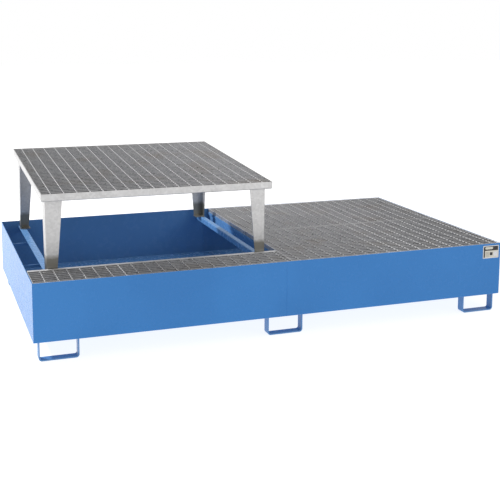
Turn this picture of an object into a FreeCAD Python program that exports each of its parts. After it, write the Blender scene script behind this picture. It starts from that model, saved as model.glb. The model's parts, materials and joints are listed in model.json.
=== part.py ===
import FreeCAD, Part
import math
import os

# Spill containment pallet, in millimetres. +X runs along the tray, +Y from its front wall
# to its back wall, +Z up. The origin is the middle of the footprint, at floor level.

# Sump tray
LENGTH = 2650.0
DEPTH = 1500.0
WALL_HEIGHT = 300.0
SHEET = 3.0
BEND_RADIUS = 5.0

# Feet of bent flat bar
FOOT_HEIGHT = 100.0
FOOT_WIDTH = 200.0
FOOT_BAR = 50.0
FOOT_THICKNESS = 6.0
FOOT_BEND = 14.0
FOOT_END_INSET = 125.0
FOOT_FACE_INSET = 20.0

# Gratings
GRATING_DEPTH = 30.0
BEARING_PITCH = 100.0 / 3.0
ROD_PITCH = 200.0 / 3.0
BEARING_THICKNESS = 3.0
ROD_SIZE = 6.0
EDGING_THICKNESS = 3.0
GRATING_GAP = 2.0
STRIP_DEPTH = 252.0
STRIP_FIRST_ROD = 60.0
PANEL_LEFT = 1360.0
PANEL_FIRST_ROD = 43.0
STRIP_LIFT_GAP = 4.0

# Raised stand with a sloping top
STAND_LEFT = 80.0
STAND_FRONT = 203.0
STAND_SIZE = 1236.0
STAND_FRONT_HEIGHT = 795.0
STAND_RISE = 71.0
STAND_EDGE_HEIGHT = 39.0
STAND_EDGE_FLANGE = 70.0
STAND_GRATING_DEPTH = 33.0
STAND_FIRST_ROD = 47.0
STAND_SHEET = 4.0
LEG_LEFT_INSET = 25.0
LEG_RIGHT_INSET = 20.0
LEG_FRONT_INSET = 58.0
LEG_BACK_INSET = 3.0
LEG_TOP_WIDTH = 98.0
LEG_FOOT_WIDTH = 56.0
LEG_RELIEF_RADIUS = 5.0
FOOT_PLATE_SIZE = 60.0
FOOT_PLATE_THICKNESS = 5.0

# Inner rails, beams and ledges
RAIL_SHEET = 4.0
RAIL_LEFT_WIDTH = 42.0
RAIL_RIGHT_WIDTH = 30.0
RAIL_HEIGHT = 36.0
RAIL_LIP = 16.0
RAIL_OVERHANG = 3.0
BEAM_HEIGHT = 100.0
BEAM_FLANGE = 45.0
LEDGE_SIZE = 30.0
TIE_HEIGHT = 16.0
TIE_THICKNESS = 5.0
TIE_PLACES = (547.0, 1073.0)
STOP_THICKNESS = 4.0
STOP_HEIGHT = 16.0
STOP_RISE = 8.0
STOP_CLEARANCE = 1.0

# Rating plate
PLATE_WIDTH = 105.0
PLATE_HEIGHT = 74.0
PLATE_THICKNESS = 1.5
PLATE_END_INSET = 12.0
PLATE_TOP_INSET = 10.0
RIVET_RADIUS = 2.5
RIVET_HEAD = 1.0
RIVET_INSET = 5.0

# Planes and lines that several pieces share
WEST = -LENGTH / 2
EAST = LENGTH / 2
FRONT = -DEPTH / 2
BACK = DEPTH / 2
TRAY_BOTTOM = FOOT_HEIGHT
TRAY_TOP = FOOT_HEIGHT + WALL_HEIGHT
REST_LEVEL = TRAY_TOP - GRATING_DEPTH
INNER_WEST = WEST + SHEET
INNER_EAST = EAST - SHEET
INNER_FRONT = FRONT + SHEET
INNER_BACK = BACK - SHEET
PANEL_WEST = WEST + PANEL_LEFT
STAND_WEST = WEST + STAND_LEFT
STAND_EAST = STAND_WEST + STAND_SIZE
STAND_SOUTH = FRONT + STAND_FRONT
STAND_NORTH = STAND_SOUTH + STAND_SIZE
SLOPE = math.atan2(STAND_RISE, STAND_SIZE)
STAND_SLANT = STAND_SIZE / math.cos(SLOPE)
LEG_WEST = STAND_WEST + LEG_LEFT_INSET
LEG_EAST = STAND_EAST - LEG_RIGHT_INSET
LEG_SOUTH = STAND_SOUTH + LEG_FRONT_INSET
LEG_NORTH = STAND_NORTH - LEG_BACK_INSET


def box(low, high):
    """A block between two opposite corners."""
    size = [high[i] - low[i] for i in range(3)]
    return Part.makeBox(size[0], size[1], size[2], FreeCAD.Vector(*low))


def bent_outline(points, thickness, radius):
    """The closed outline, in the XY plane, of a sheet whose middle line has round bends."""
    line = [FreeCAD.Vector(x, y, 0) for x, y in points]
    left = []
    right = []

    def side_step(direction):
        return FreeCAD.Vector(-direction.y, direction.x, 0) * (thickness / 2)

    first = (line[1] - line[0]).normalize()
    left.append(line[0] + side_step(first))
    right.append(line[0] - side_step(first))
    arcs = []
    for before, corner, after in zip(line, line[1:], line[2:]):
        way_in = (corner - before).normalize()
        way_out = (after - corner).normalize()
        turn = way_in.getAngle(way_out)
        reach = radius * math.tan(turn / 2)
        start = corner - way_in * reach
        end = corner + way_out * reach
        inward = (way_out - way_in).normalize()
        centre = corner + inward * (radius / math.cos(turn / 2))
        outward = inward * -1.0
        inner_is_left = inward.dot(side_step(way_in)) > 0
        for points_side, sign in ((left, 1), (right, -1)):
            is_inner = inner_is_left == (sign == 1)
            bend = radius - thickness / 2 if is_inner else radius + thickness / 2
            arcs.append((points_side, len(points_side), centre + outward * bend))
            points_side.append(start + side_step(way_in) * sign)
            points_side.append(end + side_step(way_out) * sign)
    last = (line[-1] - line[-2]).normalize()
    left.append(line[-1] + side_step(last))
    right.append(line[-1] - side_step(last))

    def side_edges(side):
        middles = {index: middle for owner, index, middle in arcs if owner is side}
        edges = []
        for i in range(len(side) - 1):
            if i in middles:
                edges.append(Part.Arc(side[i], middles[i], side[i + 1]).toShape())
            else:
                edges.append(Part.makeLine(side[i], side[i + 1]))
        return edges

    edges = side_edges(left) + side_edges(right)
    edges.append(Part.makeLine(left[0], right[0]))
    edges.append(Part.makeLine(left[-1], right[-1]))
    return Part.Face(Part.Wire(Part.__sortEdges__(edges)))


def bent_along_x(points, x_low, x_high, thickness, radius):
    """A bent sheet with its section given as (Y, Z) points, running along X."""
    section = bent_outline(points, thickness, radius)
    section.rotate(FreeCAD.Vector(), FreeCAD.Vector(1, 1, 1), 120)
    section.translate(FreeCAD.Vector(x_low, 0, 0))
    return section.extrude(FreeCAD.Vector(x_high - x_low, 0, 0))


def bent_along_y(points, y_low, y_high, thickness, radius):
    """A bent sheet with its section given as (X, Z) points, running along Y."""
    section = bent_outline(points, thickness, radius)
    section.rotate(FreeCAD.Vector(), FreeCAD.Vector(1, 0, 0), 90)
    section.translate(FreeCAD.Vector(0, y_low, 0))
    return section.extrude(FreeCAD.Vector(0, y_high - y_low, 0))


def prism(corners, direction):
    """A straight prism from a closed list of flat corners."""
    loop = [FreeCAD.Vector(*corner) for corner in corners]
    return Part.Face(Part.makePolygon(loop + [loop[0]])).extrude(FreeCAD.Vector(*direction))


def tray_half(x_low, x_high):
    """Front wall, floor and back wall of one half of the sump, folded from one sheet."""
    half = SHEET / 2
    section = (
        (FRONT + half, TRAY_TOP),
        (FRONT + half, TRAY_BOTTOM + half),
        (BACK - half, TRAY_BOTTOM + half),
        (BACK - half, TRAY_TOP),
    )
    return bent_along_x(section, x_low, x_high, SHEET, BEND_RADIUS)


def end_wall(x_low):
    """The flat plate that closes one end of the folded sheets, with their rounded corners."""
    wall = box((x_low, FRONT, TRAY_BOTTOM), (x_low + SHEET, BACK, TRAY_TOP))
    low_edges = [edge for edge in wall.Edges if runs_along_x_at_bottom(edge)]
    return wall.makeFillet(BEND_RADIUS + SHEET / 2, low_edges)


def runs_along_x_at_bottom(edge):
    size = edge.BoundBox
    return size.XLength > SHEET / 2 and size.ZMax < TRAY_BOTTOM + SHEET


def foot(x_middle, y_low):
    """A strap bent to a U, welded by its two ends under the sump."""
    half = FOOT_THICKNESS / 2
    x_low = x_middle - FOOT_WIDTH / 2 + half
    x_high = x_middle + FOOT_WIDTH / 2 - half
    section = ((x_low, TRAY_BOTTOM), (x_low, half), (x_high, half), (x_high, TRAY_BOTTOM))
    return bent_along_y(section, y_low, y_low + FOOT_BAR, FOOT_THICKNESS, FOOT_BEND)


def stand_rail(outer_x, width):
    """A rail from front wall to back wall, folded to a C that is open away from the stand's middle."""
    half = RAIL_SHEET / 2
    toward_middle = math.copysign(1, width)
    web_x = outer_x + width - toward_middle * half
    top = REST_LEVEL - half
    low = REST_LEVEL - RAIL_HEIGHT + half
    section = (
        (outer_x, top),
        (web_x, top),
        (web_x, low),
        (web_x - toward_middle * RAIL_LIP, low),
    )
    return bent_along_y(section, INNER_FRONT, INNER_BACK, RAIL_SHEET, RAIL_SHEET)


def grating_beam(web_x):
    """A C-shaped beam from front wall to back wall under the gratings."""
    half = RAIL_SHEET / 2
    top = REST_LEVEL - half
    low = REST_LEVEL - BEAM_HEIGHT + half
    section = (
        (web_x + BEAM_FLANGE, top),
        (web_x + half, top),
        (web_x + half, low),
        (web_x + BEAM_FLANGE, low),
    )
    return bent_along_y(section, INNER_FRONT, INNER_BACK, RAIL_SHEET, RAIL_SHEET)


def ledge(wall_x, inward, y_low, y_high):
    """An angle welded to an end wall that the ends of the bearing bars rest on."""
    half = RAIL_SHEET / 2
    top = REST_LEVEL - half
    upright = wall_x + inward * half
    section = ((wall_x + inward * LEDGE_SIZE, top), (upright, top), (upright, top - LEDGE_SIZE))
    return bent_along_y(section, y_low, y_high, RAIL_SHEET, RAIL_SHEET)


def rail_ties(x_low, x_high):
    """Flat bars on edge that stand on a rail's lower lip and hold it off the end wall, as separate solids."""
    z_low = REST_LEVEL - RAIL_HEIGHT + RAIL_SHEET
    z_high = z_low + TIE_HEIGHT
    ties = []
    for place in TIE_PLACES:
        y_low = FRONT + place - TIE_THICKNESS / 2
        ties.append(box((x_low, y_low, z_low), (x_high, y_low + TIE_THICKNESS, z_high)))
    return Part.makeCompound(ties)


def grating_stop(x_high, y_low):
    """A flat bar welded to the left beam, that stands a little above it and keeps the panels in place."""
    z_high = REST_LEVEL + STOP_RISE
    return box((x_high - STOP_THICKNESS, y_low, z_high - STOP_HEIGHT), (x_high, INNER_BACK, z_high))


def grating_mesh(low, high, top, depth, first_rod):
    """Bearing bars along X with cross rods pressed into their top edges, welded to one piece."""
    clear_depth = high[1] - low[1]
    bar_count = int(clear_depth // BEARING_PITCH)
    margin = (clear_depth - (bar_count - 1) * BEARING_PITCH) / 2
    bars = []
    for i in range(bar_count):
        y_low = low[1] + margin + i * BEARING_PITCH - BEARING_THICKNESS / 2
        corner = (low[0], y_low, top - depth)
        bars.append(box(corner, (high[0], y_low + BEARING_THICKNESS, top)))
    rod_x = low[0] + first_rod
    while rod_x < high[0] - ROD_SIZE * 2:
        corner = (rod_x - ROD_SIZE / 2, low[1], top - ROD_SIZE)
        bars.append(box(corner, (rod_x + ROD_SIZE / 2, high[1], top)))
        rod_x += ROD_PITCH
    return bars[0].multiFuse(bars[1:]).Solids[0]


def grating_edging(low, high, top, depth):
    """The four flat bars that close a grating's rim, as separate solids."""
    t = EDGING_THICKNESS
    bottom = top - depth
    return Part.makeCompound([
        box((low[0], low[1], bottom), (high[0], low[1] + t, top)),
        box((low[0], high[1] - t, bottom), (high[0], high[1], top)),
        box((low[0], low[1] + t, bottom), (low[0] + t, high[1] - t, top)),
        box((high[0] - t, low[1] + t, bottom), (high[0], high[1] - t, top)),
    ])


def flat_grating(low, high, first_rod):
    """Mesh and edging of a grating that lies in the tray, level with its rim."""
    t = EDGING_THICKNESS
    mesh_low = (low[0] + t, low[1] + t)
    mesh_high = (high[0] - t, high[1] - t)
    mesh = grating_mesh(mesh_low, mesh_high, TRAY_TOP, GRATING_DEPTH, first_rod)
    return mesh, grating_edging(low, high, TRAY_TOP, GRATING_DEPTH)


def on_slope(shape):
    """Move a piece drawn flat, with its top at height 0, on to the stand's sloping top."""
    shape.rotate(FreeCAD.Vector(), FreeCAD.Vector(1, 0, 0), math.degrees(SLOPE))
    shape.translate(FreeCAD.Vector(STAND_WEST, STAND_SOUTH, STAND_FRONT_HEIGHT))
    return shape


def edge_angle(length):
    """An angle bar along X from the origin, upright at Y = 0 and flange towards +Y."""
    half = STAND_SHEET / 2
    section = ((half, 0), (half, half - STAND_EDGE_HEIGHT), (STAND_EDGE_FLANGE, half - STAND_EDGE_HEIGHT))
    angle = bent_along_x(section, 0, length, STAND_SHEET, STAND_SHEET)
    reach = STAND_EDGE_FLANGE
    plan = (
        (0, 0, -STAND_EDGE_HEIGHT),
        (length, 0, -STAND_EDGE_HEIGHT),
        (length - reach, reach, -STAND_EDGE_HEIGHT),
        (reach, reach, -STAND_EDGE_HEIGHT),
    )
    return angle.common(prism(plan, (0, 0, STAND_EDGE_HEIGHT))).Solids[0]


def stand_edge(length, turn, corner):
    """One mitred side of the stand's edge frame."""
    angle = edge_angle(length)
    angle.rotate(FreeCAD.Vector(), FreeCAD.Vector(0, 0, 1), turn)
    angle.translate(FreeCAD.Vector(*corner))
    return on_slope(angle)


def stand_mesh():
    """The sloping grating that fills the stand's edge frame."""
    t = STAND_SHEET
    low = (t, t)
    high = (STAND_SIZE - t, STAND_SLANT - t)
    return on_slope(grating_mesh(low, high, 0, STAND_GRATING_DEPTH, STAND_FIRST_ROD))


def underside_height(y):
    """Height of the underside of the stand's edge frame at a place along Y."""
    return STAND_FRONT_HEIGHT + (y - STAND_SOUTH) * math.tan(SLOPE) - STAND_EDGE_HEIGHT / math.cos(SLOPE)


def leg(x_corner, x_sign, y_corner, y_sign):
    """A tapered angle of folded sheet, cut to the slope at its top."""
    half = STAND_SHEET / 2
    foot_z = REST_LEVEL + FOOT_PLATE_THICKNESS
    x_mid = x_corner + x_sign * half
    y_mid = y_corner + y_sign * half
    path = (
        (x_corner + x_sign * LEG_TOP_WIDTH, y_mid),
        (x_mid, y_mid),
        (x_mid, y_corner + y_sign * LEG_TOP_WIDTH),
    )
    tall = STAND_FRONT_HEIGHT + STAND_RISE
    sheet = bent_outline(path, STAND_SHEET, STAND_SHEET).extrude(FreeCAD.Vector(0, 0, tall))
    x_taper = prism(
        (
            (x_corner, y_corner - y_sign, foot_z),
            (x_corner + x_sign * LEG_FOOT_WIDTH, y_corner - y_sign, foot_z),
            (x_corner + x_sign * LEG_TOP_WIDTH, y_corner - y_sign, tall),
            (x_corner, y_corner - y_sign, tall),
        ),
        (0, y_sign * (LEG_TOP_WIDTH + 2), 0),
    )
    y_far = y_corner + y_sign * LEG_TOP_WIDTH
    y_taper = prism(
        (
            (x_corner - x_sign, y_corner, foot_z),
            (x_corner - x_sign, y_corner + y_sign * LEG_FOOT_WIDTH, foot_z),
            (x_corner - x_sign, y_far, underside_height(y_far)),
            (x_corner - x_sign, y_corner, underside_height(y_corner)),
        ),
        (x_sign * (LEG_TOP_WIDTH + 2), 0, 0),
    )
    relief_axis = FreeCAD.Vector(x_sign, y_sign, 0)
    relief_start = FreeCAD.Vector(x_corner, y_corner, underside_height(y_corner)) - relief_axis * STAND_SHEET
    relief = Part.makeCylinder(LEG_RELIEF_RADIUS, STAND_SHEET * 4, relief_start, relief_axis)
    return sheet.common(x_taper).common(y_taper).cut(relief).Solids[0]


def foot_plate(x_corner, x_sign, y_corner, y_sign):
    """The small square plate welded under a leg."""
    xs = sorted((x_corner - x_sign, x_corner + x_sign * (FOOT_PLATE_SIZE - 1)))
    ys = sorted((y_corner - y_sign, y_corner + y_sign * (FOOT_PLATE_SIZE - 1)))
    return box((xs[0], ys[0], REST_LEVEL), (xs[1], ys[1], REST_LEVEL + FOOT_PLATE_THICKNESS))


def rating_plate_corner():
    """Lower left corner of the rating plate, on the front wall."""
    return EAST - PLATE_END_INSET - PLATE_WIDTH, TRAY_TOP - PLATE_TOP_INSET - PLATE_HEIGHT


def rating_plate():
    """A blank plate near the right end of the front wall."""
    x_low, z_low = rating_plate_corner()
    low = (x_low, FRONT - PLATE_THICKNESS, z_low)
    return box(low, (x_low + PLATE_WIDTH, FRONT, z_low + PLATE_HEIGHT))


def rating_plate_rivets():
    """The heads of the four rivets that hold the plate, as separate solids."""
    x_low, z_low = rating_plate_corner()
    heads = []
    for x in (x_low + RIVET_INSET, x_low + PLATE_WIDTH - RIVET_INSET):
        for z in (z_low + RIVET_INSET, z_low + PLATE_HEIGHT - RIVET_INSET):
            centre = FreeCAD.Vector(x, FRONT - PLATE_THICKNESS, z)
            heads.append(Part.makeCylinder(RIVET_RADIUS, RIVET_HEAD, centre, FreeCAD.Vector(0, -1, 0)))
    return Part.makeCompound(heads)


def build_tray(nodes):
    """The sump, its end walls, feet and rating plate."""
    nodes["tray_half_left"] = tray_half(INNER_WEST, 0)
    nodes["tray_half_right"] = tray_half(0, INNER_EAST)
    nodes["end_wall_left"] = end_wall(WEST)
    nodes["end_wall_right"] = end_wall(INNER_EAST)
    columns = {"left": WEST + FOOT_END_INSET, "middle": 0, "right": EAST - FOOT_END_INSET}
    rows = {"front": FRONT + FOOT_FACE_INSET, "back": BACK - FOOT_FACE_INSET - FOOT_BAR}
    for row, y_low in rows.items():
        for column, x_middle in columns.items():
            nodes["foot_" + row + "_" + column] = foot(x_middle, y_low)
    nodes["rating_plate"] = rating_plate()
    nodes["rating_plate_rivets"] = rating_plate_rivets()


def build_supports(nodes):
    """The rails, beams and ledges inside the sump."""
    rail_west = LEG_WEST - RAIL_OVERHANG
    rail_east = LEG_EAST + RAIL_OVERHANG
    beam_west = PANEL_WEST - STOP_CLEARANCE
    beam_middle = (PANEL_WEST + INNER_EAST) / 2
    strip_back = INNER_FRONT + STRIP_DEPTH
    nodes["stand_rail_left"] = stand_rail(rail_west, RAIL_LEFT_WIDTH)
    nodes["stand_rail_right"] = stand_rail(rail_east, -RAIL_RIGHT_WIDTH)
    nodes["grating_beam_left"] = grating_beam(beam_west)
    nodes["grating_beam_middle"] = grating_beam(beam_middle - BEAM_FLANGE / 2)
    nodes["grating_ledge_right"] = ledge(INNER_EAST, -1, INNER_FRONT, INNER_BACK)
    nodes["grating_stop"] = grating_stop(beam_west, strip_back + STRIP_LIFT_GAP)
    nodes["strip_ledge_left"] = ledge(INNER_WEST, 1, INNER_FRONT, strip_back)
    nodes["rail_ties_left"] = rail_ties(INNER_WEST, rail_west + RAIL_LEFT_WIDTH - RAIL_SHEET * 2)


def build_gratings(nodes):
    """The front strip and the two panels on the right."""
    gap = GRATING_GAP
    strip_high = (PANEL_WEST - STRIP_LIFT_GAP, INNER_FRONT + STRIP_DEPTH)
    strip = flat_grating((INNER_WEST + gap, INNER_FRONT + gap), strip_high, STRIP_FIRST_ROD)
    nodes["strip_mesh"], nodes["strip_edging"] = strip
    middle = (INNER_FRONT + INNER_BACK) / 2
    spans = {"front": (INNER_FRONT + gap, middle - gap / 2), "back": (middle + gap / 2, INNER_BACK - gap)}
    for name, (y_low, y_high) in spans.items():
        panel = flat_grating((PANEL_WEST, y_low), (INNER_EAST - gap, y_high), PANEL_FIRST_ROD)
        nodes["panel_" + name + "_mesh"], nodes["panel_" + name + "_edging"] = panel


def build_stand(nodes):
    """The raised stand with the sloping grating."""
    size = STAND_SIZE
    slant = STAND_SLANT
    nodes["stand_edge_front"] = stand_edge(size, 0, (0, 0, 0))
    nodes["stand_edge_right"] = stand_edge(slant, 90, (size, 0, 0))
    nodes["stand_edge_back"] = stand_edge(size, 180, (size, slant, 0))
    nodes["stand_edge_left"] = stand_edge(slant, 270, (0, slant, 0))
    nodes["stand_mesh"] = stand_mesh()
    for row, y_corner, y_sign in (("front", LEG_SOUTH, 1), ("back", LEG_NORTH, -1)):
        for column, x_corner, x_sign in (("left", LEG_WEST, 1), ("right", LEG_EAST, -1)):
            place = row + "_" + column
            nodes["leg_" + place] = leg(x_corner, x_sign, y_corner, y_sign)
            nodes["foot_plate_" + place] = foot_plate(x_corner, x_sign, y_corner, y_sign)


def main():
    nodes = {}
    build_tray(nodes)
    build_supports(nodes)
    build_gratings(nodes)
    build_stand(nodes)
    os.makedirs("parts", exist_ok=True)
    for name, shape in nodes.items():
        shape.exportStep("parts/" + name + ".step")
        print(name, len(shape.Solids), round(shape.Volume), shape.isValid())


main()
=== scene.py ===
import json
import math

import bmesh
import bpy
from mathutils import Matrix, Vector


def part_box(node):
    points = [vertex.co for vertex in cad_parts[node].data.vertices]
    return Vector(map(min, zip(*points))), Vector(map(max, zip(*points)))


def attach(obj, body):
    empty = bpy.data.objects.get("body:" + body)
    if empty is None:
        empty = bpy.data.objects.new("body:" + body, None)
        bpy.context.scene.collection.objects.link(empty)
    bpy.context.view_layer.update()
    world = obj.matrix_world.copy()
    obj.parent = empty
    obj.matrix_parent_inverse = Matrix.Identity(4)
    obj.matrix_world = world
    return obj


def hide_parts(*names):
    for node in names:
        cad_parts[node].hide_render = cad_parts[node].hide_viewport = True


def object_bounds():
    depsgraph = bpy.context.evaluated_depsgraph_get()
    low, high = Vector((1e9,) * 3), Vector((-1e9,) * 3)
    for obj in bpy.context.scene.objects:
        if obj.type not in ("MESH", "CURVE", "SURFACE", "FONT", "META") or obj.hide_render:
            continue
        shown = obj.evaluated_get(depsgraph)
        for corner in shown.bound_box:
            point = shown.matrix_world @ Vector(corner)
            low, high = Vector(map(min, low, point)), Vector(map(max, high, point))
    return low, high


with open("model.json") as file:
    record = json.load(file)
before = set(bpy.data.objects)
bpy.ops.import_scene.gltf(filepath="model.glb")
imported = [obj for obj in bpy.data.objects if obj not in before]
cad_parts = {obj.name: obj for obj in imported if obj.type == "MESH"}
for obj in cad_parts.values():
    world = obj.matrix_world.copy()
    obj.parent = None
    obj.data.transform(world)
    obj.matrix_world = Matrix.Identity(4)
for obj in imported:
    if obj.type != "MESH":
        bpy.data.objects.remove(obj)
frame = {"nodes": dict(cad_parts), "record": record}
cadBox = [list(corner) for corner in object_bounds()]
cadNodes = frame["nodes"]
print("frame loaded:", len(cadNodes), "nodes")

tray = {
    "west": cadBox[0][0],
    "east": cadBox[1][0],
    "front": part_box("tray_half_left")[0].y,
    "back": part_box("tray_half_left")[1].y,
    "floorUnder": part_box("tray_half_left")[0].z,
    "rim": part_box("tray_half_left")[1].z,
    "sheet": 0.003,
}


def makePiece(name, bm, materials, body, replaced=(), smoothAngle=35):
    bmesh.ops.recalc_face_normals(bm, faces=bm.faces[:])
    mesh = bpy.data.meshes.new(name)
    bm.to_mesh(mesh)
    bm.free()
    for material in materials:
        mesh.materials.append(material)
    piece = bpy.data.objects.new(name, mesh)
    bpy.context.scene.collection.objects.link(piece)
    mesh.shade_smooth()
    mesh.set_sharp_from_angle(angle=math.radians(smoothAngle))
    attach(piece, body)
    if replaced:
        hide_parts(*replaced)
    return piece


def addBlock(bm, low, high, bevel=0.0, segments=2, edgePick=None):
    size = [high[i] - low[i] for i in range(3)]
    centre = [(high[i] + low[i]) / 2 for i in range(3)]
    place = Matrix.Translation(centre) @ Matrix.Diagonal((*size, 1))
    verts = bmesh.ops.create_cube(bm, size=1, matrix=place)["verts"]
    edges = list({edge for vert in verts for edge in vert.link_edges})
    if edgePick:
        edges = [edge for edge in edges if edgePick(edge)]
    if bevel:
        made = bmesh.ops.bevel(
            bm, geom=edges, offset=bevel, offset_type="OFFSET", segments=segments,
            profile=0.5, affect="EDGES", material=-1, clamp_overlap=True,
        )
        verts = list(set(verts) | set(made["verts"]))
    return [vert for vert in verts if vert.is_valid]


def addBead(bm, start, end, width=0.006, rise=0.003, pitch=0.0035):
    start = Vector(start)
    along = Vector(end) - start
    count = max(2, round(along.length / pitch))
    turn = along.to_track_quat("X", "Z").to_matrix().to_4x4()
    drop = Matrix.Translation(start) @ turn @ Matrix.Diagonal((pitch * 0.95, width / 2, rise, 1))
    verts = bmesh.ops.create_icosphere(bm, subdivisions=1, radius=1, matrix=drop)["verts"]
    copyAlong(bm, geomOf(verts), [along * (i / count) for i in range(1, count + 1)])


def copyAlong(bm, geom, offsets):
    for offset in offsets:
        made = bmesh.ops.duplicate(bm, geom=geom)["geom"]
        verts = [item for item in made if isinstance(item, bmesh.types.BMVert)]
        bmesh.ops.translate(bm, verts=verts, vec=offset)


def setFinish(verts, index):
    for face in {face for vert in verts for face in vert.link_faces}:
        face.material_index = index


def geomOf(verts):
    edges = {edge for vert in verts for edge in vert.link_edges}
    faces = {face for vert in verts for face in vert.link_faces}
    return list(verts) + list(edges) + list(faces)


def newMaterial(name):
    material = bpy.data.materials.new(name)
    material.use_nodes = True
    return material, material.node_tree.nodes["Principled BSDF"]


def node(material, kind, inputs=None, **settings):
    made = material.node_tree.nodes.new(kind)
    for key, value in settings.items():
        setattr(made, key, value)
    for key, value in (inputs or {}).items():
        if isinstance(value, bpy.types.NodeSocket):
            material.node_tree.links.new(value, made.inputs[key])
        else:
            made.inputs[key].default_value = value
    return made


def plug(material, output, target):
    material.node_tree.links.new(output, target)


def place(material, scale=(1, 1, 1)):
    coords = node(material, "ShaderNodeTexCoord").outputs["Object"]
    return node(material, "ShaderNodeMapping", {"Vector": coords, "Scale": scale}).outputs["Vector"]


def noise(material, vector, scale, detail=2, roughness=0.5):
    inputs = {"Vector": vector, "Scale": scale, "Detail": detail, "Roughness": roughness}
    return node(material, "ShaderNodeTexNoise", inputs).outputs["Fac"]


def spread(material, value, low, high, toLow, toHigh):
    inputs = {"Value": value, "From Min": low, "From Max": high, "To Min": toLow, "To Max": toHigh}
    return node(material, "ShaderNodeMapRange", inputs).outputs["Result"]


def blendColours(material, factor, first, second, mode="MIX"):
    mixer = node(material, "ShaderNodeMix", data_type="RGBA", blend_type=mode)
    for socket, value in ((mixer.inputs[0], factor), (mixer.inputs[6], first), (mixer.inputs[7], second)):
        if isinstance(value, bpy.types.NodeSocket):
            plug(material, value, socket)
        else:
            socket.default_value = value
    return mixer.outputs[2]


def bump(material, height, strength, distance, normal=None):
    inputs = {"Height": height, "Strength": strength, "Distance": distance}
    if normal is not None:
        inputs["Normal"] = normal
    return node(material, "ShaderNodeBump", inputs).outputs["Normal"]


def bluePaint():
    material, shader = newMaterial("bluePaint")
    looks = {
        "blue": (0.044, 0.208, 0.535, 1),
        "deepBlue": (0.039, 0.188, 0.492, 1),
        # pale tint for settled dust on upward faces, also used for the painted light inside the sump
        "dustAndPaintedLightTint": (0.24, 0.38, 0.54, 1),
        "dustAmount": 0.10,
        "paintedLightInside": 0.32,
        "insideX": tray["east"] - tray["sheet"] / 2,
        "insideY": tray["back"] - tray["sheet"] / 2,
        "roughness": (0.22, 0.30),
        "clouds": (2.2, 3),  # noise scale and detail
        "dustPatches": (14, 5, 0.65),
        "satin": (30, 4, 0.6),
        "peel": (420, 0.05, 0.0006),  # scale, strength, depth
        "waves": (5, 0.05, 0.004),
    }
    here = place(material)
    broad = spread(material, noise(material, here, *looks["clouds"]), 0.35, 0.65, 0, 1)
    colour = blendColours(material, broad, looks["blue"], looks["deepBlue"])
    normal = node(material, "ShaderNodeNewGeometry").outputs["Normal"]
    upward = node(material, "ShaderNodeSeparateXYZ", {"Vector": normal}).outputs["Z"]
    settled = spread(material, upward, 0.6, 1.0, 0, looks["dustAmount"])
    patchy = spread(material, noise(material, here, *looks["dustPatches"]), 0.40, 0.72, 0, 1)
    dustAndPaintedLight = node(material, "ShaderNodeMath", {0: settled, 1: patchy}, operation="MULTIPLY").outputs[0]
    sides = node(material, "ShaderNodeSeparateXYZ", {"Vector": here}).outputs
    within = []
    for side, limit in (("X", looks["insideX"]), ("Y", looks["insideY"])):  # the sump's inside is painted lighter: painted light standing in for the light that reaches in there
        reach = node(material, "ShaderNodeMath", {0: sides[side]}, operation="ABSOLUTE").outputs[0]
        below = node(material, "ShaderNodeMath", {0: reach, 1: limit}, operation="LESS_THAN")
        within.append(below.outputs[0])
    inside = node(material, "ShaderNodeMath", {0: within[0], 1: within[1]}, operation="MULTIPLY").outputs[0]
    # painted light: the inside of the sump is lifted towards the pale tint, on top of the real dust on
    # upward faces
    dustAndPaintedLight = node(
        material, "ShaderNodeMath", {0: inside, 1: looks["paintedLightInside"], 2: dustAndPaintedLight}, operation="MULTIPLY_ADD",
    ).outputs[0]
    plug(material, blendColours(material, dustAndPaintedLight, colour, looks["dustAndPaintedLightTint"]), shader.inputs["Base Color"])
    satin = spread(material, noise(material, here, *looks["satin"]), 0.3, 0.7, *looks["roughness"])
    plug(material, satin, shader.inputs["Roughness"])
    normal = None
    for scale, strength, depth in (looks["peel"], looks["waves"]):
        normal = bump(material, noise(material, here, scale, 1), strength, depth, normal)
    plug(material, normal, shader.inputs["Normal"])
    shader.inputs["Specular IOR Level"].default_value = 0.20
    return material


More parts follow.
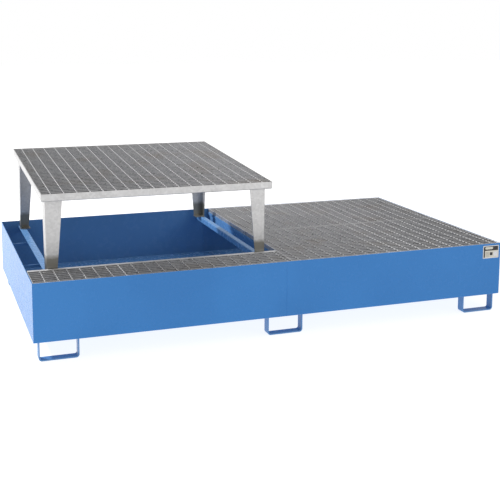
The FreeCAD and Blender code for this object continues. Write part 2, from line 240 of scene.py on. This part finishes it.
def zincSheet():
    material, shader = newMaterial("zincSheet")
    looks = {
        "zinc": (0.49, 0.485, 0.485, 1),
        "paleZinc": (0.64, 0.635, 0.635, 1),
        "darkFoot": (0.20, 0.19, 0.155, 1),
        "footTop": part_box("leg_front_left")[0].z + 0.105,
        "footFade": 0.022,
        "roughness": (0.36, 0.52),
        "spangleScale": 85,
        "spangleShare": 0.35,
        "clouds": (9, 4, 0.6),
        "runs": (55, 55, 2.5),  # long down the sheet, narrow across it
        "spangleRelief": (0.06, 0.0004),
        "lumpRelief": (0.10, 0.0008),
    }
    here = place(material)
    voronoi = {"Vector": here, "Scale": looks["spangleScale"]}
    cells = node(material, "ShaderNodeTexVoronoi", voronoi).outputs["Color"]
    spangle = node(material, "ShaderNodeSeparateColor", {"Color": cells}).outputs[0]
    cloudy = noise(material, here, *looks["clouds"])
    shares = {0: spangle, 1: looks["spangleShare"], 2: cloudy}
    mixed = node(material, "ShaderNodeMath", shares, operation="MULTIPLY_ADD").outputs[0]
    tone = spread(material, mixed, 0.40, 1.0, 0, 1)
    colour = blendColours(material, tone, looks["zinc"], looks["paleZinc"])
    runs = noise(material, place(material, looks["runs"]), 1, 3)
    streaks = spread(material, runs, 0.55, 0.75, 0, 0.22)
    colour = blendColours(material, streaks, colour, looks["zinc"])
    # the zinc is darker towards the bottom, below a ragged line near the leg feet
    height = node(material, "ShaderNodeSeparateXYZ", {"Vector": here}).outputs["Z"]
    ragged = node(
        material, "ShaderNodeMath",
        {0: noise(material, here, 60, 3), 1: 0.02, 2: height}, operation="MULTIPLY_ADD",
    ).outputs[0]
    footDarkening = spread(material, ragged, looks["footTop"], looks["footTop"] - looks["footFade"], 0, 0.85)
    plug(material, blendColours(material, footDarkening, colour, looks["darkFoot"]), shader.inputs["Base Color"])
    plug(material, spread(material, mixed, 0.4, 1.2, *looks["roughness"]), shader.inputs["Roughness"])
    shader.inputs["Metallic"].default_value = 0.75
    grains = bump(material, spangle, *looks["spangleRelief"])
    lumps = bump(material, noise(material, here, 120, 3), *looks["lumpRelief"], grains)
    plug(material, lumps, shader.inputs["Normal"])
    return material


def zincBars(name, shade):
    material, shader = newMaterial(name)
    looks = {
        "zinc": tuple(channel * shade for channel in (0.36, 0.36, 0.375)) + (1,),
        "paleZinc": tuple(channel * shade for channel in (0.66, 0.66, 0.67)) + (1,),
        "warmGrey": tuple(channel * shade for channel in (0.40, 0.34, 0.28)) + (1,),
        # painted highlight colour for the upward faces
        "paintedTopHighlight": (0.80, 0.80, 0.81, 1),
        "paintedTopHighlightAmount": 0.85,
        "roughness": (0.26, 0.42),
        "grain": (70, 4, 0.65),
        "relief": (0.15, 0.0008),
    }
    here = place(material)
    fine = noise(material, here, *looks["grain"])
    colour = blendColours(material, spread(material, fine, 0.3, 0.7, 0, 1), looks["zinc"], looks["paleZinc"])
    stain = spread(material, noise(material, here, 5, 3), 0.52, 0.72, 0, 0.45)
    colour = blendColours(material, stain, colour, looks["warmGrey"])
    # painted highlight: upward faces are made paler, standing in for light on the tops, and the sides stay
    # darker
    normal = node(material, "ShaderNodeNewGeometry").outputs["Normal"]
    upward = node(material, "ShaderNodeSeparateXYZ", {"Vector": normal}).outputs["Z"]
    paintedTopHighlightMask = spread(material, upward, 0.3, 0.9, 0, looks["paintedTopHighlightAmount"])
    plug(material, blendColours(material, paintedTopHighlightMask, colour, looks["paintedTopHighlight"]), shader.inputs["Base Color"])
    plug(material, spread(material, fine, 0.3, 0.7, *looks["roughness"]), shader.inputs["Roughness"])
    shader.inputs["Metallic"].default_value = 0.7
    plug(material, bump(material, noise(material, here, 260, 3), *looks["relief"]), shader.inputs["Normal"])
    return material


def plateFinish(name, colour, roughness, metallic=0.0):
    material, shader = newMaterial(name)
    here = place(material, (1, 1, 40))
    brushed = noise(material, here, 90, 2)
    darker = tuple(channel * 0.85 for channel in colour[:3]) + (1,)
    plug(material, blendColours(material, brushed, colour, darker), shader.inputs["Base Color"])
    plug(material, spread(material, brushed, 0, 1, roughness, roughness + 0.1), shader.inputs["Roughness"])
    shader.inputs["Metallic"].default_value = metallic
    return material


paint = bluePaint()
sheetZinc = zincSheet()
barZinc = zincBars("barZinc", 0.57)
# the rods and the edging are brighter copies of the bar zinc: painted highlight for where light catches them
highlightRodZinc = zincBars("highlightRodZinc", 0.90)
highlightRimZinc = zincBars("highlightRimZinc", 1.20)
plateMetal = plateFinish("plateMetal", (0.62, 0.63, 0.65, 1), 0.32, 0.8)
plateBlack = plateFinish("plateBlack", (0.012, 0.012, 0.014, 1), 0.35)
platePale = plateFinish("platePale", (0.62, 0.60, 0.52, 1), 0.45)
print("materials ready")


def makeCamera():
    view = {
        "at": (-1.8517, -5.2361, 1.6532),
        "turn": 20.064,
        "down": 8.358,
        "roll": 0.312,
        "lens": 67.944,
        "shift": -0.18,
    }
    camera = bpy.data.objects.new("camera", bpy.data.cameras.new("camera"))
    bpy.context.scene.collection.objects.link(camera)
    camera.data.sensor_width = 36
    camera.data.lens = view["lens"]
    camera.data.shift_y = view["shift"]
    camera.data.clip_end = 60
    heading = Matrix.Rotation(math.radians(-view["turn"]), 4, "Z")
    tilt = Matrix.Rotation(math.radians(90 - view["down"]), 4, "X")
    roll = Matrix.Rotation(math.radians(view["roll"]), 4, "Z")
    camera.matrix_world = Matrix.Translation(view["at"]) @ heading @ tilt @ roll
    bpy.context.scene.camera = camera


def areaLight(name, at, toward, size, power):
    light = bpy.data.lights.new(name, "AREA")
    light.shape = "SQUARE"
    light.size = size
    light.energy = power
    lamp = bpy.data.objects.new(name, light)
    bpy.context.scene.collection.objects.link(lamp)
    aim = (Vector(toward) - Vector(at)).to_track_quat("-Z", "Y")
    lamp.matrix_world = Matrix.Translation(at) @ aim.to_matrix().to_4x4()


def makeStudio():
    looks = {
        "keyLight": ((-5.65, 4.05, 4.70), (0, 0, 0.4), 0.5, 610),  # place, aim, size, power
        "frontFill": ((2.8, -6.4, 2.1), (0, 0, 0.3), 2.5, 48),
        "topSoft": ((0.2, 0.3, 4.6), (0, 0, 0.4), 2.6, 40),
        "skyLight": 0.6,
        "skySeen": 1.0,
        "floorSize": 30,
        "floorColour": (0.35, 0.35, 0.35, 1),
        "floorGlow": 0.84,
    }
    for name in ("keyLight", "frontFill", "topSoft"):
        areaLight(name, *looks[name])
    world = bpy.data.worlds.new("studio")
    world.use_nodes = True
    nodes = world.node_tree.nodes
    nodes["Background"].inputs["Color"].default_value = (1, 1, 1, 1)
    strength = nodes.new("ShaderNodeMapRange")  # the backdrop is seen white, but lights the object softly
    strength.inputs["To Min"].default_value = looks["skyLight"]
    strength.inputs["To Max"].default_value = looks["skySeen"]
    seen = nodes.new("ShaderNodeLightPath").outputs["Is Camera Ray"]
    world.node_tree.links.new(seen, strength.inputs["Value"])
    world.node_tree.links.new(strength.outputs["Result"], nodes["Background"].inputs["Strength"])
    bpy.context.scene.world = world
    bpy.context.scene.view_settings.view_transform = "Standard"
    bm = bmesh.new()
    bmesh.ops.create_grid(bm, x_segments=1, y_segments=1, size=looks["floorSize"])
    mesh = bpy.data.meshes.new("studioFloor")
    bm.to_mesh(mesh)
    bm.free()
    floor = bpy.data.objects.new("studioFloor", mesh)
    bpy.context.scene.collection.objects.link(floor)
    material, shader = newMaterial("paleFloor")
    shader.inputs["Base Color"].default_value = looks["floorColour"]
    shader.inputs["Roughness"].default_value = 0.9
    shader.inputs["Emission Color"].default_value = (1, 1, 1, 1)
    shader.inputs["Emission Strength"].default_value = looks["floorGlow"]
    mesh.materials.append(material)


makeCamera()
makeStudio()
print("studio ready")


gratingLooks = {
    "bearingPitch": 1 / 30,
    "rodPitch": 1 / 15,
    "barThickness": 0.003,
    "barRound": 0.0007,
    "rodSide": 0.0052,
    "rodSink": 0.0040,
    "rodTurn": 0.0667,
    "stepsPerTurn": 16,
    "lastRod": 0.012,  # how near the far edge a rod may come
    "blob": (0.0052, 0.0034, 0.0019),  # weld at each crossing
    "blobSink": 0.0003,
    "edging": 0.003,
    "edgingRound": 0.0006,
}


def gratingMesh(low, high, top, depth, firstRod):
    looks = gratingLooks
    bm = bmesh.new()
    clearDepth = high[1] - low[1]
    barCount = int(clearDepth // looks["bearingPitch"])
    margin = (clearDepth - (barCount - 1) * looks["bearingPitch"]) / 2
    half = looks["barThickness"] / 2
    firstY = low[1] + margin
    barVerts = addBlock(
        bm, (low[0], firstY - half, top - depth), (high[0], firstY + half, top), looks["barRound"], 2,
        lambda edge: abs(edge.verts[0].co.x - edge.verts[1].co.x) > half,  # only the long edges
    )
    barYs = [i * looks["bearingPitch"] for i in range(barCount)]
    copyAlong(bm, geomOf(barVerts), [(0, y, 0) for y in barYs[1:]])
    rodXs = []
    rodX = low[0] + firstRod
    while rodX < high[0] - looks["lastRod"]:
        rodXs.append(rodX)
        rodX += looks["rodPitch"]
    length = high[1] - low[1]
    steps = round(length / looks["rodTurn"] * looks["stepsPerTurn"])
    centre = Vector((rodXs[0], low[1], top - looks["rodSink"]))
    facing = Matrix.Translation(centre) @ Matrix.Rotation(math.radians(-90), 4, "X")
    square = bmesh.ops.create_circle(
        bm, cap_ends=True, segments=4, radius=looks["rodSide"] / math.sqrt(2), matrix=facing,
    )["verts"]
    oldFaces = set(bm.faces)
    start = [face for face in bm.faces if all(vert in square for vert in face.verts)]
    bmesh.ops.spin(
        bm, geom=start, cent=centre, axis=(0, 1, 0), dvec=(0, length / steps, 0),
        angle=math.tau * length / looks["rodTurn"], steps=steps, use_merge=False, use_duplicate=False,
    )
    rodFaces = [face for face in bm.faces if face not in oldFaces or face in start]
    for face in rodFaces:
        face.material_index = 1
    rodVerts = list({vert for face in rodFaces for vert in face.verts})
    copyAlong(bm, geomOf(rodVerts), [(x - rodXs[0], 0, 0) for x in rodXs[1:]])
    blobAt = Vector((rodXs[0], firstY, top - looks["blob"][2] - looks["blobSink"]))
    blob = bmesh.ops.create_icosphere(
        bm, subdivisions=1, radius=1,
        matrix=Matrix.Translation(blobAt) @ Matrix.Diagonal((*looks["blob"], 1)),
    )["verts"]
    offsets = [(x - rodXs[0], y, 0) for x in rodXs for y in barYs]
    copyAlong(bm, geomOf(blob), offsets[1:])
    return bm


def edgingBars(low, high, top, depth, lip, sharedY):
    t = gratingLooks["edging"]
    soft = gratingLooks["edgingRound"]
    bm = bmesh.new()
    if lip:
        addBlock(bm, (low[0], high[1] - lip, top - t), (high[0], high[1], top), soft, 2)
    bottom = top - depth
    for a, b in (
        ((low[0], low[1]), (high[0], low[1] + t)),
        ((low[0], high[1] - t), (high[0], high[1])),
        ((low[0], low[1] + t), (low[0] + t, high[1] - t)),
        ((high[0] - t, low[1] + t), (high[0], high[1] - t)),
    ):
        verts = addBlock(bm, (*a, bottom), (*b, top), soft, 2)
        # the side next to the other panel keeps the plain bar zinc, without the painted highlight
        if sharedY in (a[1], b[1]) and b[0] - a[0] > t * 2:
            setFinish(verts, 1)
    return bm


def flatGratings():
    for name, body, firstRod, lip, shared in (  # shared: which long side lies next to the other panel
        ("strip", "strip_grating", 0.060, 0.024, None),
        ("panel_front", "front_panel", 0.043, 0, 1),
        ("panel_back", "back_panel", 0.043, 0, 0),
    ):
        low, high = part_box(name + "_mesh")
        bars = gratingMesh(low, high, high.z, high.z - low.z, firstRod)
        makePiece(name + "_bars", bars, [barZinc, highlightRodZinc], body, [name + "_mesh"])
        low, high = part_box(name + "_edging")
        sharedY = None if shared is None else (low, high)[shared].y
        rim = edgingBars(low, high, high.z, high.z - low.z, lip, sharedY)
        makePiece(name + "_rim", rim, [highlightRimZinc, barZinc], body, [name + "_edging"])


def slopingGrating():
    top = {"rise": 0.071, "size": 1.236, "sheet": 0.004, "depth": 0.033, "firstRod": 0.047}
    slope = math.atan2(top["rise"], top["size"])
    slant = top["size"] / math.cos(slope)
    inside = top["sheet"]
    bars = gratingMesh(
        (inside, inside), (top["size"] - inside, slant - inside), 0, top["depth"], top["firstRod"],
    )
    corner = Vector((
        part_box("stand_edge_left")[0].x,
        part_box("stand_edge_front")[0].y,
        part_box("stand_edge_back")[1].z - top["rise"],
    ))
    lift = Matrix.Translation(corner) @ Matrix.Rotation(slope, 4, "X")
    bars.transform(lift)
    makePiece("stand_bars", bars, [barZinc, highlightRodZinc], "stand", ["stand_mesh"])


flatGratings()
slopingGrating()
print("gratings ready")


def ratingPlate():
    looks = {
        "corner": 0.003,
        "border": 0.0045,
        "header": 0.025,
        "band": 0.009,
        "layer": 0.00012,
        "soft": 0.0008,
        "windowSoft": 0.0015,
        "rule": 0.0011,
        "bar": (0.014, 0.066, 0.008, 0.022),  # left, right, top, bottom
        "patch": (0.046, 0.064, 0.040, 0.057),
        "lines": (0.018, 0.040, (0.039, 0.045, 0.051, 0.057, 0.063)),
        "window": (0.071, 0.096, 0.037, 0.064),
    }
    low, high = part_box("rating_plate")
    bm = bmesh.new()

    def field(left, right, top, bottom, layer, finish, corner):
        front = low.y + looks["layer"] * (3 - layer)
        back = high.y if layer == 0 else front + looks["layer"]
        verts = addBlock(
            bm, (low.x + left, front, high.z - bottom), (low.x + right, back, high.z - top), corner, 4,
            lambda edge: abs(edge.verts[0].co.y - edge.verts[1].co.y) > looks["layer"] / 2,
        )
        setFinish(verts, finish)

    width = high.x - low.x
    height = high.z - low.z
    edge = looks["border"]
    underHeader = edge + looks["header"]
    field(0, width, 0, height, 0, 0, looks["corner"])
    soft = looks["soft"]
    field(edge, width - edge, edge, underHeader, 1, 1, soft)
    field(edge, edge + looks["band"], underHeader, height - edge, 1, 1, soft)
    field(edge + looks["band"], width - edge, underHeader, height - edge, 1, 2, soft / 2)
    left, right, top, bottom = looks["bar"]
    field(left, right, top, bottom, 2, 2, (bottom - top) * 0.49)
    field(*looks["patch"], 2, 1, soft)
    field(*looks["window"], 2, 0, looks["windowSoft"])
    left, right, heights = looks["lines"]
    for top in heights:
        field(left, right, top, top + looks["rule"], 2, 1, 0)
    inks = [plateMetal, plateBlack, platePale]
    makePiece("type_plate", bm, inks, "tray", ["rating_plate"], 30)


def rivetHeads():
    looks = {"radius": 0.0025, "dome": 0.0008, "pinRing": 0.0013, "dimple": 0.0003}
    low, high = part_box("rating_plate_rivets")
    radius = looks["radius"]
    bm = bmesh.new()
    middle = Matrix.Translation((low.x + radius, (low.y + high.y) / 2, low.z + radius))
    bmesh.ops.create_cone(
        bm, cap_ends=True, segments=20, radius1=radius, radius2=radius, depth=high.y - low.y,
        matrix=middle @ Matrix.Rotation(math.radians(90), 4, "X"),
    )
    front = min(bm.faces, key=lambda face: face.calc_center_median().y)
    bmesh.ops.bevel(
        bm, geom=list(front.edges), offset=looks["dome"], offset_type="OFFSET", segments=3,
        profile=0.5, affect="EDGES", material=-1,
    )
    front = min(bm.faces, key=lambda face: face.calc_center_median().y)
    bmesh.ops.inset_region(bm, faces=[front], thickness=radius - looks["dome"] - looks["pinRing"])
    bmesh.ops.inset_region(bm, faces=[front], thickness=looks["dimple"])
    bmesh.ops.translate(bm, verts=front.verts[:], vec=(0, looks["dimple"], 0))
    right = high.x - low.x - 2 * radius
    up = high.z - low.z - 2 * radius
    copyAlong(bm, bm.verts[:] + bm.edges[:] + bm.faces[:], [(right, 0, 0), (0, 0, up), (right, 0, up)])
    makePiece("plate_rivets", bm, [plateMetal], "tray", ["rating_plate_rivets"], 30)


def paintedWelds():
    looks = {
        "seam": 0.0065,
        "butt": 0.006,
        "inset": 0.004,
        "sink": 0.001,
        "buttSink": 0.0018,
        "coarse": (0.003, 0.008),  # height and pitch of the floor's beads
        "barThickness": 0.006,
    }
    inset = looks["inset"]
    inner = tray["sheet"] + looks["sink"]
    walls = (tray["front"] + inner, tray["back"] - inner)
    floor = tray["floorUnder"] + tray["sheet"] + looks["sink"] / 2
    top = tray["rim"] - inset
    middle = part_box("tray_half_left")[1].x
    ends = (tray["west"] + inner, tray["east"] - inner)
    bm = bmesh.new()
    for x in (*ends, middle):
        upright = looks["butt"] if x == middle else looks["seam"]
        for y in walls:
            addBead(bm, (x, y, floor + inset), (x, y, top), upright)
        start, end = (x, walls[0] + inset, floor), (x, walls[1] - inset, floor)
        addBead(bm, start, end, looks["seam"], *looks["coarse"])
    outer = tray["front"] + looks["buttSink"]
    addBead(bm, (middle, outer, tray["floorUnder"] + inset), (middle, outer, top), looks["butt"])
    for side in ("front", "back"):
        for place in ("left", "middle", "right"):
            low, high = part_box("foot_" + side + "_" + place)
            z = high.z - looks["sink"]
            for x in (low.x, low.x + looks["barThickness"], high.x - looks["barThickness"], high.x):
                addBead(bm, (x, low.y + inset, z), (x, high.y - inset, z), looks["butt"])
    makePiece("tray_welds", bm, [paint], "tray")


def standWelds():
    looks = {"width": 0.005, "sink": 0.001, "near": 0.006, "off": 0.005, "reach": 0.052, "rise": 0.0005}
    bm = bmesh.new()
    for place in ("front_left", "front_right", "back_left", "back_right"):
        low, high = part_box("leg_" + place)
        inX = 1 if "left" in place else -1
        inY = 1 if "front" in place else -1
        outerX = (low.x if inX > 0 else high.x) + inX * looks["sink"]
        outerY = (low.y if inY > 0 else high.y) + inY * looks["sink"]
        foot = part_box("foot_plate_" + place)[1].z + looks["rise"]
        nearX, farX = outerX + inX * looks["near"], outerX + inX * looks["reach"]
        nearY, farY = outerY + inY * looks["near"], outerY + inY * looks["reach"]
        sideX, sideY = outerX + inX * looks["off"], outerY + inY * looks["off"]
        addBead(bm, (nearX, sideY, foot), (farX, sideY, foot), looks["width"])
        addBead(bm, (sideX, nearY, foot), (sideX, farY, foot), looks["width"])
    makePiece("stand_welds", bm, [sheetZinc], "stand")


ratingPlate()
rivetHeads()
paintedWelds()
standWelds()
print("plate, rivets and welds ready")


finishes = {"blue_paint": paint, "galvanised_stand": sheetZinc, "plate_metal": plateMetal}


def dressFrame():
    slots = {part["node"]: part["material_slot"] for part in frame["record"]["subparts"]}
    for name, piece in cadNodes.items():
        finish = finishes.get(slots[name])
        if finish is None:
            continue
        piece.data.materials.clear()
        piece.data.materials.append(finish)


dressFrame()
print("frame dressed")
